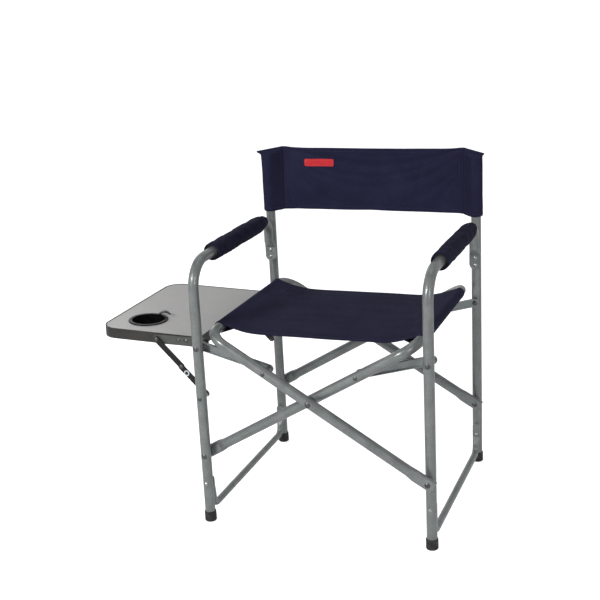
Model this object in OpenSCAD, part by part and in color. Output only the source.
// Folding director chair with a fold-down side table.
// Millimetres. +X is the sitter's left, +Y points to the back, +Z is up.
// The origin lies on the floor under the middle of the whole chair with its table.
// "Left" and "right" are as seen from the front: the table is on the left, at -X.

/* [Frame] */
// Distance between the left and right leg centres
leg_span_x = 540; // [520:5:580]
// Distance between the front and rear leg centres
leg_span_y = 485; // [470:5:500]
// Outer diameter of the main tubes
tube_d = 24; // [22:0.5:25]
// Wall thickness of the main tubes
tube_wall = 1.5; // [1.2:0.1:2]
// Height of the arm tubes' centre line
arm_z = 630; // [620:1:640]
// Bend radius from the front leg to the arm
arm_bend_front = 65; // [55:1:75]
// Bend radius from the arm to its rear drop
arm_bend_rear = 35; // [32:1:38]
// Height of the back posts' tube ends
post_top_z = 790; // [780:1:795]
// Diameter of the floor stretchers
stretcher_d = 16; // [14:0.5:18]

/* [Cross tubes] */
// Height of the lower pivots
pivot_z = 167; // [160:1:175]
// Angle of the cross tubes above level
cross_angle = 30.5; // [29:0.1:31]
// Distance from the centre pivot to the seat rails' centre line
rail_reach = 276; // [270:1:280]
// Bend radius from a cross tube's diagonal to its rail
rail_bend = 45; // [42:1:48]
// Distance of the link holes from the chair's middle
link_hole_x = 105; // [100:1:110]

/* [Fabric] */
// Outer radius of the arm pads
pad_r = 20.5; // [18:0.25:21]
// Height of the back sling's lower edge
back_sling_bottom = 648; // [640:1:660]
// Height of the back sling's upper edge
back_sling_top = 813; // [805:1:825]
// How far the back sling's panel lies behind the posts' centres
back_setback = 20; // [10:1:22]
// Sag of the seat's middle below the tops of its rails
seat_sag = 18; // [8:1:20]

/* [Side table] */
// Reach of the table from its hinge bolts
table_reach = 276; // [260:1:280]
// Rise of the table's outer edge, in degrees
table_tilt = 2; // [0:0.5:3]
// Height of the table's edge band
band_h = 25; // [22:1:28]
// Outer diameter of the cup holder's rim
cup_rim_d = 96; // [88:1:100]
// Depth of the cup holder
cup_depth = 30; // [26:1:32]

/* [Hidden] */
$fn = 64;

half_x = leg_span_x / 2;
half_y = leg_span_y / 2;
tube_r = tube_d / 2;
gap = 0.1;              // play between two pieces that are fastened together
clear = 0.3;            // play between two pieces that move past each other
hole_play = 0.05;       // play around a pin, on the radius
seam = 0.02;            // step between two runs of one tube
collar = 0.5;           // half the length over which they overlap
pivot_r = 4;            // pins of the cross tubes and links
rivet_r = 3;            // rivets of the arms, stretchers and stays
head_h = 2.5;           // height of a pivot's domed head
head_r = 6.5;           // radius of a pivot's domed head

// Cross tubes, seen from the front: tube A climbs from the right legs to the left rail.
pivot_reach = half_x / cos(cross_angle);
centre_z = pivot_z + half_x * tan(cross_angle);
pressed_t = 16;         // thickness of a cross tube's pressed lower end
pressed_r = 14.5;       // half the height of that pressed end
pressed_len = 34;       // its straight length above the pivot
press_run = 16;         // length over which the tube turns from round to pressed
lower_spacer = 5;       // spacer between a leg and a pressed end
centre_spacer = 5;      // spacer between the two crossing tubes
lower_off = tube_r + lower_spacer + pressed_t / 2;
centre_off = tube_r + centre_spacer / 2;
tube_slope = (lower_off - centre_off) / pivot_reach;
rail_off = lower_off - tube_slope * (pivot_reach + rail_reach);
rail_x = rail_reach * cos(cross_angle);
rail_z = centre_z + rail_reach * sin(cross_angle);

// Links hold the legs upright on the cross tubes.
link_hole_z = centre_z + link_hole_x * tan(cross_angle);
link_rise = 44.36;      // height of a link's leg end above its tube end
link_bolt_z = link_hole_z + link_rise;
link_len = norm([half_x - link_hole_x, link_rise]);
link_angle = atan(link_rise / (half_x - link_hole_x));
link_w = 20;            // height of a link's channel
link_t = 1.5;           // sheet thickness of a link
link_flange = 8.5;      // depth of a link's channel
near_link_y = 12.6;     // the link to the nearer tube starts this far behind the leg's centre
far_link_y = 26.8;      // and the link to the farther tube starts here
bush_r = 7;
bush_clear = 1.6;       // the open pivots' bushes stop this far from the tube

// Side table, in its own frame: x runs inwards from the hinge bolts, z is up.
table_front = -half_y + 37.5;
table_rear = half_y - 55;
table_inner = 11;       // the table's inner edge stops this far from the hinge bolts
band_top = 11.5;
band_t = 2.5;
board_t = 18;
board_drop = 0.8;       // the board lies this far below the band's top
corner_r = 42;
inner_corner_r = 8;
plate_t = 3;
plate_r = 11;
cup_x = -188;
cup_y = -half_y + 122;
cup_r = cup_rim_d / 2 - 5;
cup_wall = 2;
stay_x = -121;          // the stay's upper pivot, in the table's frame
stay_w = -2.4;
stay_t = 2.4;
stay_r = 7;
stay_low_z = 310;       // the stay's lower pivot on the leg
stay_top = [
    -half_x + stay_x * cos(table_tilt) + stay_w * sin(table_tilt),
    link_bolt_z - stay_x * sin(table_tilt) + stay_w * cos(table_tilt)
];
stay_low = [-half_x, stay_low_z];
stay_knee = (stay_top + stay_low) / 2;
stay_len = norm(stay_top - stay_low) / 2;
stay_angle = atan2(stay_low.y - stay_top.y, stay_low.x - stay_top.x);
upper_stay_y = 29.8;     // front face of the upper bars, behind the leg's centre
lower_stay_y = 26.8;     // front face of the lower bars

// Floor stretchers: flattened tips riveted to the legs' inner faces.
tip_t = 5;
tip_r = 9;
front_tip_z = 97;
rear_tip_z = 78;

// The back slings' sleeves and the whole part's reach set the origin.
sleeve_r = tube_r + clear;
back_sleeve_r = 17.5;
seat_sleeve_r = 13.8;
table_out = half_x + table_reach * cos(table_tilt) + (band_h - band_top) * sin(table_tilt);
mid_x = (table_out - half_x - pad_r) / 2;

STEEL = "#7f8884";
DARK = "#2b2b2d";
ZINC = "#a9afb2";
NAVY = "#2b2b3c";

// ---- helpers ----

function unit(v) = v / norm(v);
function turn(a, b, c) = acos(unit(b - a) * unit(c - b));
function trim(a, b, c, bend) = bend * tan(turn(a, b, c) / 2);

// Everything below is drawn from the chair's own middle plane.
module chair() translate([mid_x, 0, 0]) children();

// Half a turn about the chair's upright middle axis, which swaps tubes A and B.
module swapped() chair() rotate([0, 0, 180]) children();

// A round rod between two points.
module rod(a, b, r) {
    d = b - a;
    translate(a) rotate([0, acos(d.z / norm(d)), atan2(d.y, d.x)]) cylinder(h = norm(d), r = r);
}

// The bend at b of a round rod from a to c.
module elbow(a, b, c, bend, r) {
    along = unit(b - a);
    axis = unit(cross(along, unit(c - b)));
    out = cross(along, axis);
    o = b - trim(a, b, c, bend) * along - bend * out;
    multmatrix([
        [out.x, along.x, axis.x, o.x],
        [out.y, along.y, axis.y, o.y],
        [out.z, along.z, axis.z, o.z],
        [0, 0, 0, 1]
    ]) rotate_extrude(angle = turn(a, b, c)) translate([bend, 0]) circle(r = r);
}

// A round rod along a list of points, with a bend radius for each inner point.
// Straight runs and bends meet inside a collar that stands proud by seam.
module bent_rod(points, bends, r) {
    last = len(points) - 1;
    cut = [for (i = [0:last]) (i == 0 || i == last) ? 0
        : trim(points[i - 1], points[i], points[i + 1], bends[i - 1])];
    for (i = [0:last - 1]) {
        along = unit(points[i + 1] - points[i]);
        start = points[i] + cut[i] * along;
        end = points[i + 1] - cut[i + 1] * along;
        rod(start + (i == 0 ? 0 : gap) * along, end - (i == last - 1 ? 0 : gap) * along, r);
        if (i > 0) rod(start - collar * along, start + collar * along, r + seam);
        if (i < last - 1) rod(end - collar * along, end + collar * along, r + seam);
    }
    for (i = [1:last - 1]) elbow(points[i - 1], points[i], points[i + 1], bends[i - 1], r);
}

// A round bar along Y, from y0 to y1.
module pin_y(x, z, y0, y1, r) translate([x, y1, z]) rotate([90, 0, 0]) cylinder(h = y1 - y0, r = r);

// A ring along Y, from y0 to y1.
module ring_y(x, z, y0, y1, r, bore) {
    difference() {
        pin_y(x, z, y0, y1, r);
        pin_y(x, z, y0 - 1, y1 + 1, bore);
    }
}

// A domed head on a pin along Y. It stands on the plane y and points to side (-1 front, 1 back).
module dome_y(x, z, y, side, r = head_r, h = head_h) {
    ball = (r * r + h * h) / (2 * h);
    translate([x, y, z]) rotate([side > 0 ? -90 : 90, 0, 0]) intersection() {
        translate([0, 0, h - ball]) sphere(r = ball);
        cylinder(h = h + 1, r = r);
    }
}

// A rivet along Y that clamps y0 to y1 between its two domed heads.
module rivet_y(x, z, y0, y1, shank, r = head_r, h = head_h) {
    pin_y(x, z, y0 - 0.5, y1 + 0.5, shank);
    dome_y(x, z, y0, -1, r, h);
    dome_y(x, z, y1, 1, r, h);
}

// A flat bar in the XZ plane with round ends, from y to y + t, at an angle seen from the front.
module bar_y(x, z, y, t, length, r, angle) {
    translate([x, y + t, z]) rotate([0, -angle, 0]) rotate([90, 0, 0]) linear_extrude(t) {
        circle(r = r);
        translate([length, 0]) circle(r = r);
        translate([0, -r]) square([length, 2 * r]);
    }
}

// ---- side frames ----

drop_y = half_y - tube_d;
flat_w = 28;            // width of the arm's flattened rear end
flat_t = 5;
flat_low = 531;         // centre of its round tip
flat_high = 553;
flat_run = 18;
arm_rivet_z = [528, 546];
foot_floor = 3;

// The arm's flattened rear end, against the front of the back post.
module arm_flat(x) {
    y = half_y - tube_r - gap;
    bar_y(x, flat_low, y - flat_t, flat_t, flat_high - flat_low, flat_w / 2, 90);
    hull() {
        translate([x - flat_w / 2, y - flat_t, flat_high]) cube([flat_w, flat_t, 1]);
        translate([x, drop_y, flat_high + flat_run]) cylinder(h = 1, r = tube_r, $fn = 32);
    }
}

module arm_path(x, foot, end, r) {
    bent_rod([[x, -half_y, foot], [x, -half_y, arm_z], [x, drop_y, arm_z], [x, drop_y, end]],
        [arm_bend_front, arm_bend_rear], r);
}

// Holes that a leg shares: lower pivot, link bolt, and on the table's side the stay bolt.
module leg_holes(x, y) {
    for (z = [pivot_z, link_bolt_z])
        pin_y(x, z, y - 2 * tube_r, y + 2 * tube_r, pivot_r + hole_play);
    if (x < 0) pin_y(x, stay_low_z, y - 2 * tube_r, y + 2 * tube_r, rivet_r + hole_play);
}

module arm_tube(x) {
    color(STEEL) difference() {
        union() {
            difference() {
                arm_path(x, foot_floor + gap, flat_high + flat_run + 1, tube_r);
                arm_path(x, 0, flat_high + flat_run + 2, tube_r - tube_wall);
            }
            arm_flat(x);
        }
        leg_holes(x, -half_y);
        pin_y(x, front_tip_z, -half_y - tube_d, -half_y + tube_d, rivet_r + hole_play);
        for (z = arm_rivet_z) pin_y(x, z, drop_y, half_y, rivet_r + hole_play);
    }
}

module left_arm_tube() chair() arm_tube(-half_x);
module right_arm_tube() chair() arm_tube(half_x);

module back_post(x) {
    color(STEEL) difference() {
        translate([x, half_y, foot_floor + gap]) cylinder(h = post_top_z - foot_floor - gap, r = tube_r);
        translate([x, half_y, 0]) cylinder(h = post_top_z + 1, r = tube_r - tube_wall);
        leg_holes(x, half_y);
        for (z = concat(arm_rivet_z, [rear_tip_z]))
            pin_y(x, z, half_y - tube_d, half_y + tube_d, rivet_r + hole_play);
    }
}

module left_back_post() chair() back_post(-half_x);
module right_back_post() chair() back_post(half_x);

tip_y = half_y - tube_r - gap - tip_t;
stretcher_front = [[20, 70], [25, 28]];
stretcher_rear = [[24, 30], [21, 55]];
stretcher_bend = 20;
tip_high = 100;         // centre of the tips' round upper ends

// A stretcher's flattened tip, drawn for the rear leg; side -1 turns it to the front leg.
// end and next are the tube's last two points: distance in from the leg's centre, and height.
module stretcher_tip(x, side, end, next) {
    tip_low = end.y + 16;
    p = [0, half_y - end.x, end.y];
    along = unit([0, half_y - next.x, next.y] - p);
    translate([x, 0, 0]) rotate([0, 0, side > 0 ? 0 : 180]) {
        bar_y(0, tip_low, tip_y, tip_t, tip_high - tip_low, tip_r, 90);
        hull() {
            translate([seam - tip_r, tip_y + seam, tip_low]) cube([2 * (tip_r - seam), tip_t - 2 * seam, 1]);
            rod(p + collar * along, p + 2 * collar * along, stretcher_d / 2 - seam, $fn = 32);
        }
    }
}

module floor_stretcher(x) {
    front = [for (p = stretcher_front) [x, -half_y + p.x, p.y]];
    rear = [for (p = stretcher_rear) [x, half_y - p.x, p.y]];
    color(STEEL) difference() {
        union() {
            bent_rod(concat(front, rear), [stretcher_bend, stretcher_bend], stretcher_d / 2);
            stretcher_tip(x, -1, stretcher_front[0], stretcher_front[1]);
            stretcher_tip(x, 1, stretcher_rear[1], stretcher_rear[0]);
        }
        pin_y(x, front_tip_z, -half_y - tube_d, -half_y + tube_d, rivet_r + hole_play);
        pin_y(x, rear_tip_z, half_y - tube_d, half_y + tube_d, rivet_r + hole_play);
    }
}

module left_floor_stretcher() chair() floor_stretcher(-half_x);
module right_floor_stretcher() chair() floor_stretcher(half_x);

pad_front = -half_y + 110;
pad_rear = -half_y + 427;

module arm_pad(x) {
    color(NAVY) difference() {
        rod([x, pad_front, arm_z], [x, pad_rear, arm_z], pad_r);
        rod([x, pad_front - 1, arm_z], [x, pad_rear + 1, arm_z], tube_r + gap);
    }
}

module left_arm_pad() chair() arm_pad(-half_x);
module right_arm_pad() chair() arm_pad(half_x);

foot_r = 14;
foot_h = 25;

module foot(x, y) {
    color(DARK) translate([x, y, 0]) rotate_extrude() polygon([
        [0, 0], [foot_r - 1.5, 0], [foot_r, 2], [foot_r, foot_h - 1], [foot_r - 1, foot_h],
        [tube_r + hole_play, foot_h], [tube_r + hole_play, foot_floor], [0, foot_floor]
    ]);
}

module left_front_foot() chair() foot(-half_x, -half_y);
module right_front_foot() chair() foot(half_x, -half_y);
module left_rear_foot() chair() foot(-half_x, half_y);
module right_rear_foot() chair() foot(half_x, half_y);

// A plug closes the top of each back post inside the sling's pocket.
module post_plug(x) {
    bore = tube_r - tube_wall - hole_play;
    color(DARK) translate([x, half_y, post_top_z]) rotate_extrude() polygon([
        [0, -14], [bore - 1, -14], [bore, -13], [bore, gap], [tube_r, gap], [tube_r, 2],
        [tube_r - 2, 4], [0, 4]
    ]);
}

module left_post_plug() chair() post_plug(-half_x);
module right_post_plug() chair() post_plug(half_x);

// Rivets of one side frame: two in the arm's rear end, one in each stretcher tip.
module frame_rivets(x) {
    color(ZINC) {
        for (z = arm_rivet_z)
            rivet_y(x, z, half_y - tube_r - 2 * gap - flat_t, half_y + tube_r + gap, rivet_r, 4.6, 1.9);
        rivet_y(x, front_tip_z, -half_y - tube_r - gap, -half_y + tube_r + 2 * gap + tip_t, rivet_r, 4.6, 1.9);
        rivet_y(x, rear_tip_z, half_y - tube_r - 2 * gap - tip_t, half_y + tube_r + gap, rivet_r, 4.6, 1.9);
    }
}

module left_frame_rivets() chair() frame_rivets(-half_x);
module right_frame_rivets() chair() frame_rivets(half_x);

// ---- pivots of the cross tubes, drawn for tube A at the right legs ----

module lower_pivots() {
    color(ZINC) for (y = [-half_y, half_y])
        rivet_y(half_x, pivot_z, y - lower_off - pressed_t / 2 - clear, y + tube_r + gap, pivot_r);
}

module right_lower_pivots() chair() lower_pivots();
module left_lower_pivots() swapped() lower_pivots();

module lower_spacers() {
    color(ZINC) for (y = [-half_y, half_y])
        ring_y(half_x, pivot_z, y - tube_r - lower_spacer + clear, y - tube_r - gap, 9, pivot_r + hole_play);
}

module right_lower_spacers() chair() lower_spacers();
module left_lower_spacers() swapped() lower_spacers();

module centre_pivots() {
    reach = centre_off + tube_r + 0.5;
    color(ZINC) chair() for (y = [-half_y, half_y])
        rivet_y(0, centre_z, y - reach, y + reach, pivot_r);
}

module centre_spacers() {
    half = centre_spacer / 2 - 0.7;
    color(ZINC) chair() for (y = [-half_y, half_y])
        ring_y(0, centre_z, y - half, y + half, 9, pivot_r + hole_play);
}

// ---- cross tubes ----

run_in = pressed_len + press_run;
low_front = [half_x, -half_y - lower_off, pivot_z];
low_rear = [half_x, half_y - lower_off, pivot_z];
rail_front = [-rail_x, -half_y - rail_off, rail_z];
rail_rear = [-rail_x, half_y - rail_off, rail_z];

// Cross-section of a pressed end, reduced all round by inset.
module pressed_section(inset, facets = $fn) {
    side_r = pressed_t / 2 - inset;
    flat = pressed_r - pressed_t / 2;
    for (s = [-flat, flat]) translate([0, s]) circle(r = side_r, $fn = facets);
    square([2 * side_r, 2 * flat], center = true);
}

// The pressed lower end of a cross tube: flat towards the leg and cut off square.
module pressed_end(low, high) {
    up = unit(high - low);
    module placed() translate(low) rotate([0, cross_angle - 180, 0]) rotate([90, 0, 90]) children();
    placed() translate([0, 0, -pressed_r]) difference() {
        linear_extrude(pressed_len + pressed_r) pressed_section(0);
        translate([0, 0, -1]) linear_extrude(pressed_len + pressed_r - 2) pressed_section(tube_wall);
    }
    hull() {
        placed() translate([0, 0, pressed_len - 1]) linear_extrude(1) pressed_section(seam, 32);
        rod(low + run_in * up, low + (run_in + 1) * up, tube_r - seam, $fn = 32);
    }
}

module cross_tube() {
    up_front = unit(rail_front - low_front);
    up_rear = unit(rail_rear - low_rear);
    color(STEEL) difference() {
        union() {
            difference() {
                bent_rod([low_front + run_in * up_front, rail_front, rail_rear, low_rear + run_in * up_rear],
                    [rail_bend, rail_bend], tube_r);
                bent_rod([
                    low_front + (run_in + 2) * up_front, rail_front,
                    rail_rear, low_rear + (run_in + 2) * up_rear
                ], [rail_bend, rail_bend], tube_r - tube_wall);
            }
            pressed_end(low_front, rail_front);
            pressed_end(low_rear, rail_rear);
        }
        for (y = [-half_y, half_y]) {
            pin_y(half_x, pivot_z, y - 3 * tube_r, y + tube_r, pivot_r + hole_play);
            pin_y(0, centre_z, y - 3 * tube_r, y + tube_r, pivot_r + hole_play);
            pin_y(-link_hole_x, link_hole_z, y - 3 * tube_r, y + 2 * tube_r, rivet_r + hole_play);
        }
    }
}

module cross_tube_a() chair() cross_tube();
module cross_tube_b() swapped() cross_tube();

// Depth of a tube's centre line where the links meet it.
link_tube_off = lower_off - tube_slope * (pivot_reach + link_hole_x / cos(cross_angle));

// The rivets that a cross tube keeps in its link holes.
module tube_link_rivets() {
    front = -half_y - link_tube_off - tube_r;
    rear = half_y - link_tube_off + tube_r;
    color(ZINC) {
        pin_y(-link_hole_x, link_hole_z, front, front + tube_d - 0.5, rivet_r);
        dome_y(-link_hole_x, link_hole_z, front - 0.3, -1, 5, 2);
        pin_y(-link_hole_x, link_hole_z, rear - tube_d + 0.5, rear, rivet_r);
        dome_y(-link_hole_x, link_hole_z, rear + 0.3, 1, 5, 2);
    }
}

module cross_a_link_rivets() chair() tube_link_rivets();
module cross_b_link_rivets() swapped() tube_link_rivets();

// ---- links ----

// A link's channel at the left front: web at the back, flanges to the front.
// It runs from the leg's bolt at x = -half_x down to the tube; start_y is the flanges' front edge.
module channel_link(side, start_y) {
    x = side * half_x;
    web = start_y + link_flange - link_t;
    angle = side < 0 ? -link_angle : link_angle - 180;
    color(ZINC) difference() {
        union() {
            bar_y(x, link_bolt_z, -half_y + web, link_t, link_len, link_w / 2, angle);
            translate([x, -half_y, link_bolt_z]) rotate([0, -angle, 0])
                for (edge = [-link_w / 2, link_w / 2 - link_t])
                    translate([0, start_y, edge]) cube([link_len, link_flange, link_t]);
        }
        for (p = [[x, link_bolt_z], [side * link_hole_x, link_hole_z]])
            pin_y(p.x, p.y, -half_y, -half_y + web + link_flange, pivot_r + hole_play);
    }
}

module left_front_link() chair() channel_link(-1, near_link_y);
module right_front_link() chair() channel_link(1, far_link_y);
module right_rear_link() swapped() channel_link(-1, near_link_y);
module left_rear_link() swapped() channel_link(1, far_link_y);

// The bushes of one link: one on the leg's bolt, one with its rivet on the tube's side.
module link_bush_pair(side, start_y, tube_back) {
    web = start_y + link_flange - link_t;
    ring_y(side * half_x, link_bolt_z, -half_y + tube_r + clear, -half_y + web - gap, bush_r,
        pivot_r + hole_play);
    rivet = [side * link_hole_x, link_hole_z];
    pin_y(rivet.x, rivet.y, -half_y + tube_back + bush_clear, -half_y + web - gap, bush_r);
    pin_y(rivet.x, rivet.y, -half_y + web - 0.5, -half_y + web + link_t + 0.5, pivot_r);
    dome_y(rivet.x, rivet.y, -half_y + web + link_t + gap, 1, 5.2, 2);
}

near_tube_back = tube_r - link_tube_off;
far_tube_back = tube_r + link_tube_off;

module near_bushes() color(ZINC) link_bush_pair(-1, near_link_y, near_tube_back);
module far_bushes() color(ZINC) link_bush_pair(1, far_link_y, far_tube_back);

module left_link_bushes() {
    chair() near_bushes();
    swapped() far_bushes();
}

module right_link_bushes() {
    swapped() near_bushes();
    chair() far_bushes();
}

// The bolts through the legs. On the table's side they reach in to its hinge plates.
module right_link_bolts() {
    color(ZINC) chair() {
        rivet_y(half_x, link_bolt_z, -half_y - tube_r - gap, -half_y + far_link_y + link_flange + clear, pivot_r);
        rivet_y(half_x, link_bolt_z, half_y - near_link_y - link_flange - clear, half_y + tube_r + gap, pivot_r);
    }
}

module left_link_bolts() {
    front_end = table_front + clear;
    rear_end = table_rear - clear;
    color(ZINC) chair() {
        pin_y(-half_x, link_bolt_z, -half_y - tube_r - gap - 0.5, front_end + 0.5, pivot_r);
        dome_y(-half_x, link_bolt_z, -half_y - tube_r - gap, -1);
        dome_y(-half_x, link_bolt_z, front_end, 1, 6.5, 3);
        pin_y(-half_x, link_bolt_z, rear_end - 0.5, half_y + tube_r + gap + 0.5, pivot_r);
        dome_y(-half_x, link_bolt_z, half_y + tube_r + gap, 1);
        dome_y(-half_x, link_bolt_z, rear_end, -1, 6.5, 3);
    }
}

// ---- fabric ----

seat_front = -half_y + 52;
seat_rear = half_y - 52;
seat_t = 1.5;
seat_steps = 32;
seat_power = 8;         // the cloth drops close to the rails and then runs nearly level

// Height of the seat cloth's upper side at x.
function seat_top(x) = rail_z + seat_sleeve_r - seat_sag * (1 - pow(x / rail_x, seat_power));

module seat_sling() {
    xs = [for (i = [0:seat_steps]) -rail_x + 2 * rail_x * i / seat_steps];
    color(NAVY) chair() translate([0, seat_rear, 0]) rotate([90, 0, 0])
        linear_extrude(seat_rear - seat_front) difference() {
            union() {
                for (s = [-1, 1]) translate([s * rail_x, rail_z]) circle(r = seat_sleeve_r);
                polygon(concat([for (x = xs) [x, seat_top(x)]],
                    [for (i = [seat_steps:-1:0]) [xs[i], seat_top(xs[i]) - seat_t]]));
            }
            for (s = [-1, 1]) translate([s * rail_x, rail_z]) circle(r = sleeve_r);
        }
}

back_panel_t = 3;
back_corner_z = 806;    // top of the sling over the posts
back_crease = 34;       // distance from a post's centre to the crease where the panel starts

module back_sling() {
    edge = half_x + back_sleeve_r;
    crease = half_x - back_crease;
    color(NAVY) chair() difference() {
        intersection() {
            translate([0, half_y, back_sling_bottom])
                linear_extrude(back_sling_top - back_sling_bottom) {
                    for (s = [-1, 1]) translate([s * half_x, 0]) circle(r = back_sleeve_r);
                    polygon([
                        [-half_x, 2], [-crease, back_setback], [crease, back_setback], [half_x, 2],
                        [half_x, 2 + back_panel_t], [crease, back_setback + back_panel_t],
                        [-crease, back_setback + back_panel_t], [-half_x, 2 + back_panel_t]
                    ]);
                }
            translate([0, half_y + 50, 0]) rotate([90, 0, 0]) linear_extrude(100) polygon([
                [-edge, back_sling_bottom - 1], [-edge, back_corner_z], [-crease, back_sling_top],
                [crease, back_sling_top], [edge, back_corner_z], [edge, back_sling_bottom - 1]
            ]);
        }
        for (s = [-1, 1]) translate([s * half_x, half_y, back_sling_bottom - 1])
            cylinder(h = post_top_z + 4 + clear - back_sling_bottom + 1, r = sleeve_r);
    }
}

// ---- side table ----

// The table's own frame: hinge bolts at the origin's height, outer edge at -x.
module table() translate([-half_x, 0, link_bolt_z]) rotate([0, table_tilt, 0]) children();

// The table's outline, drawn smaller all round by inset.
module table_outline(inset) {
    x0 = -table_reach + inset;
    x1 = -table_inner - inset;
    y0 = table_front + inset;
    y1 = table_rear - inset;
    outer = corner_r - inset;
    inner = inner_corner_r - inset;
    translate([x0 + outer, y0]) square([x1 - inner - x0 - outer, y1 - y0]);
    translate([x0, y0 + outer]) square([outer + 1, y1 - y0 - 2 * outer]);
    translate([x1 - inner - 1, y0 + inner]) square([inner + 1, y1 - y0 - 2 * inner]);
    for (y = [y0 + outer, y1 - outer]) translate([x0 + outer, y]) circle(r = outer);
    for (y = [y0 + inner, y1 - inner]) translate([x1 - inner, y]) circle(r = inner);
}

band_rivet_x = [-46, -66];
screw_r = 2.5;

// Holes through the band and board edge for the plates' rivets.
module plate_holes() {
    for (y = [table_front, table_rear], x = band_rivet_x)
        pin_y(x, 0, y - 10, y + 10, screw_r + hole_play);
}

module table_board() {
    color("#a8a6a6") chair() table() difference() {
        translate([0, 0, band_top - board_drop - board_t]) linear_extrude(board_t)
            table_outline(band_t + gap);
        translate([cup_x, cup_y, -50]) cylinder(h = 100, r = cup_r + gap);
        plate_holes();
    }
}

module table_edge_band() {
    color("#565350") chair() table() difference() {
        translate([0, 0, band_top - band_h]) linear_extrude(band_h) table_outline(0);
        translate([0, 0, band_top - band_h - 1]) linear_extrude(band_h + 2) table_outline(band_t);
        plate_holes();
    }
}

// A hinge plate lies on the band's face from the hinge bolt to the stay's upper pivot.
module hinge_plate(y) {
    difference() {
        bar_y(stay_x, stay_w, y, plate_t, norm([stay_x, stay_w]), plate_r, atan(-stay_w / -stay_x));
        pin_y(0, 0, y - 1, y + plate_t + 1, pivot_r + hole_play);
        for (x = band_rivet_x) pin_y(x, 0, y - 1, y + plate_t + 1, screw_r + hole_play);
        pin_y(stay_x, stay_w, y - 1, y + plate_t + 1, rivet_r + hole_play);
    }
}

module table_hinge_plates() {
    color("#6c706c") chair() table() {
        hinge_plate(table_front - gap - plate_t);
        hinge_plate(table_rear + gap);
    }
}

// Rivets of the hinge plates and the stay's upper pivots, front and rear.
module table_rivets() {
    inner = 6;
    front = table_front - plate_t - 2 * gap;
    rear = table_rear + plate_t + 2 * gap;
    color(ZINC) chair() table() {
        for (x = band_rivet_x) {
            pin_y(x, 0, front - 0.5, table_front + inner, screw_r);
            dome_y(x, 0, front, -1, 4.5, 1.8);
            pin_y(x, 0, table_rear - inner, rear + 0.5, screw_r);
            dome_y(x, 0, rear, 1, 4.5, 1.8);
        }
        pin_y(stay_x, stay_w, -half_y + upper_stay_y - clear - 0.5, table_front - gap, rivet_r);
        dome_y(stay_x, stay_w, -half_y + upper_stay_y - clear, -1, 5.2, 2);
        pin_y(stay_x, stay_w, table_rear + gap, rear_stay_y(upper_stay_y) + stay_t + clear + 0.5, rivet_r);
        dome_y(stay_x, stay_w, rear_stay_y(upper_stay_y) + stay_t + clear, 1, 5.2, 2);
    }
}

module cup_holder() {
    top = band_top - board_drop + gap;
    rim_r = cup_rim_d / 2;
    low = top - cup_depth;
    color(DARK) chair() table() translate([cup_x, cup_y, 0]) rotate_extrude() polygon([
        [0, low], [cup_r - 5, low], [cup_r - 3, low + 2], [cup_r - 0.2, top], [rim_r, top],
        [rim_r, top + 1.2], [rim_r - 1.2, top + 2.4], [cup_r - cup_wall - 1, top + 2.4],
        [cup_r - 3 - cup_wall, low + cup_wall], [0, low + cup_wall]
    ]);
}

// The small curved tab that stands up from the cup holder's rim.
module cup_tab() {
    top = band_top - board_drop + gap + 2.5;
    spine = [[8, 40, 1], [16, 41, 6], [25, 40, 9], [35, 36, 9], [45, 30, 7]];
    widths = [16, 16, 14, 10, 4];
    color(DARK) chair() table() translate([cup_x, cup_y, top])
        for (i = [0:3]) hull() {
            for (j = [i, i + 1]) translate(spine[j]) rotate([90, 0, 20])
                cylinder(h = widths[j], d = 2, center = true, $fn = 12);
        }
}

// ---- stays ----

// The same depth behind the rear end of the table as y is in front of its front end.
function rear_stay_y(y) = table_rear + (table_front - (-half_y + y + stay_t));

module stay_pair(p, y, r_a, r_b) {
    for (face = [-half_y + y, rear_stay_y(y)]) difference() {
        bar_y(p.x, p.y, face, stay_t, stay_len, stay_r, stay_angle);
        pin_y(p.x, p.y, face - 1, face + stay_t + 1, r_a);
        pin_y(p.x + stay_len * cos(stay_angle), p.y + stay_len * sin(stay_angle),
            face - 1, face + stay_t + 1, r_b);
    }
}

module stay_upper_bars() {
    color(DARK) chair() stay_pair(stay_top, upper_stay_y, rivet_r + hole_play, rivet_r + hole_play);
}

module stay_lower_bars() {
    color(DARK) chair() stay_pair(stay_knee, lower_stay_y, rivet_r + hole_play, rivet_r + hole_play);
}

// The knee's domed rivet heads sit in the lower bars, their studs in the upper bars.
module stay_knee_rivets() {
    front = -half_y + lower_stay_y;
    rear = rear_stay_y(lower_stay_y) + stay_t;
    color(ZINC) chair() {
        pin_y(stay_knee.x, stay_knee.y, front - gap - 0.5, front + stay_t, rivet_r);
        dome_y(stay_knee.x, stay_knee.y, front - gap, -1, 5.2, 2);
        pin_y(stay_knee.x, stay_knee.y, rear - stay_t, rear + gap + 0.5, rivet_r);
        dome_y(stay_knee.x, stay_knee.y, rear + gap, 1, 5.2, 2);
    }
}

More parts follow.
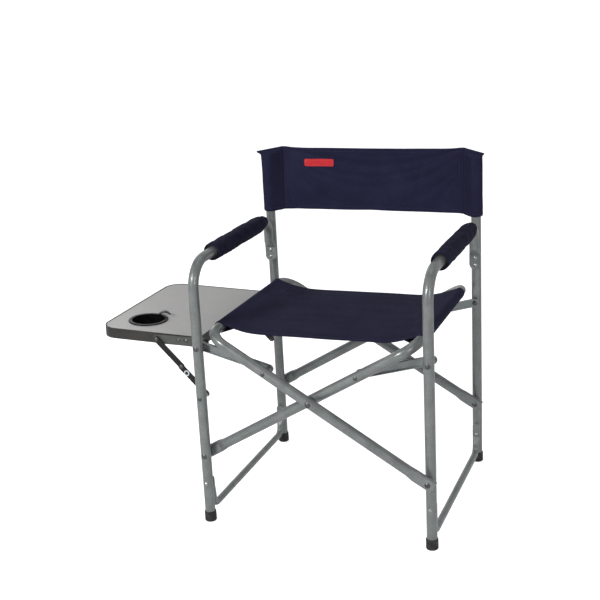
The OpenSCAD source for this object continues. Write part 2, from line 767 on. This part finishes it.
module stay_knee_studs() {
    color(ZINC) chair() for (face = [-half_y + upper_stay_y, rear_stay_y(upper_stay_y)])
        pin_y(stay_knee.x, stay_knee.y, face, face + stay_t, rivet_r);
}

// A zinc ring on each lower bar, just below the knee, locks the stay straight.
module stay_lock_rings() {
    spot = stay_knee + 20 * [cos(stay_angle), sin(stay_angle)];
    front = -half_y + lower_stay_y - gap;
    rear = rear_stay_y(lower_stay_y) + stay_t + gap;
    color(ZINC) chair() {
        ring_y(spot.x, spot.y, front - 2, front, 7, 4);
        ring_y(spot.x, spot.y, rear, rear + 2, 7, 4);
    }
}

module stay_leg_bolts() {
    front = -half_y + lower_stay_y + stay_t + clear;
    rear = rear_stay_y(lower_stay_y) - clear;
    color(ZINC) chair() {
        rivet_y(-half_x, stay_low_z, -half_y - tube_r - gap, front, rivet_r, 5.2, 2);
        rivet_y(-half_x, stay_low_z, rear, half_y + tube_r + gap, rivet_r, 5.2, 2);
    }
}

module stay_spacers() {
    bore = rivet_r + hole_play;
    color(ZINC) chair() {
        ring_y(-half_x, stay_low_z, -half_y + tube_r + gap, -half_y + lower_stay_y - clear, 6, bore);
        ring_y(-half_x, stay_low_z, rear_stay_y(lower_stay_y) + stay_t + clear, half_y - tube_r - gap, 6, bore);
    }
}

left_arm_tube();
right_arm_tube();
left_back_post();
right_back_post();
left_floor_stretcher();
right_floor_stretcher();
left_arm_pad();
right_arm_pad();
left_front_foot();
right_front_foot();
left_rear_foot();
right_rear_foot();
left_post_plug();
right_post_plug();
left_frame_rivets();
right_frame_rivets();
left_lower_pivots();
right_lower_pivots();
left_lower_spacers();
right_lower_spacers();
left_link_bolts();
right_link_bolts();
cross_tube_a();
cross_tube_b();
cross_a_link_rivets();
cross_b_link_rivets();
centre_pivots();
centre_spacers();
left_front_link();
right_front_link();
left_rear_link();
right_rear_link();
left_link_bushes();
right_link_bushes();
seat_sling();
back_sling();
table_board();
table_edge_band();
table_hinge_plates();
table_rivets();
cup_holder();
cup_tab();
stay_upper_bars();
stay_lower_bars();
stay_knee_rivets();
stay_knee_studs();
stay_lock_rings();
stay_leg_bolts();
stay_spacers();
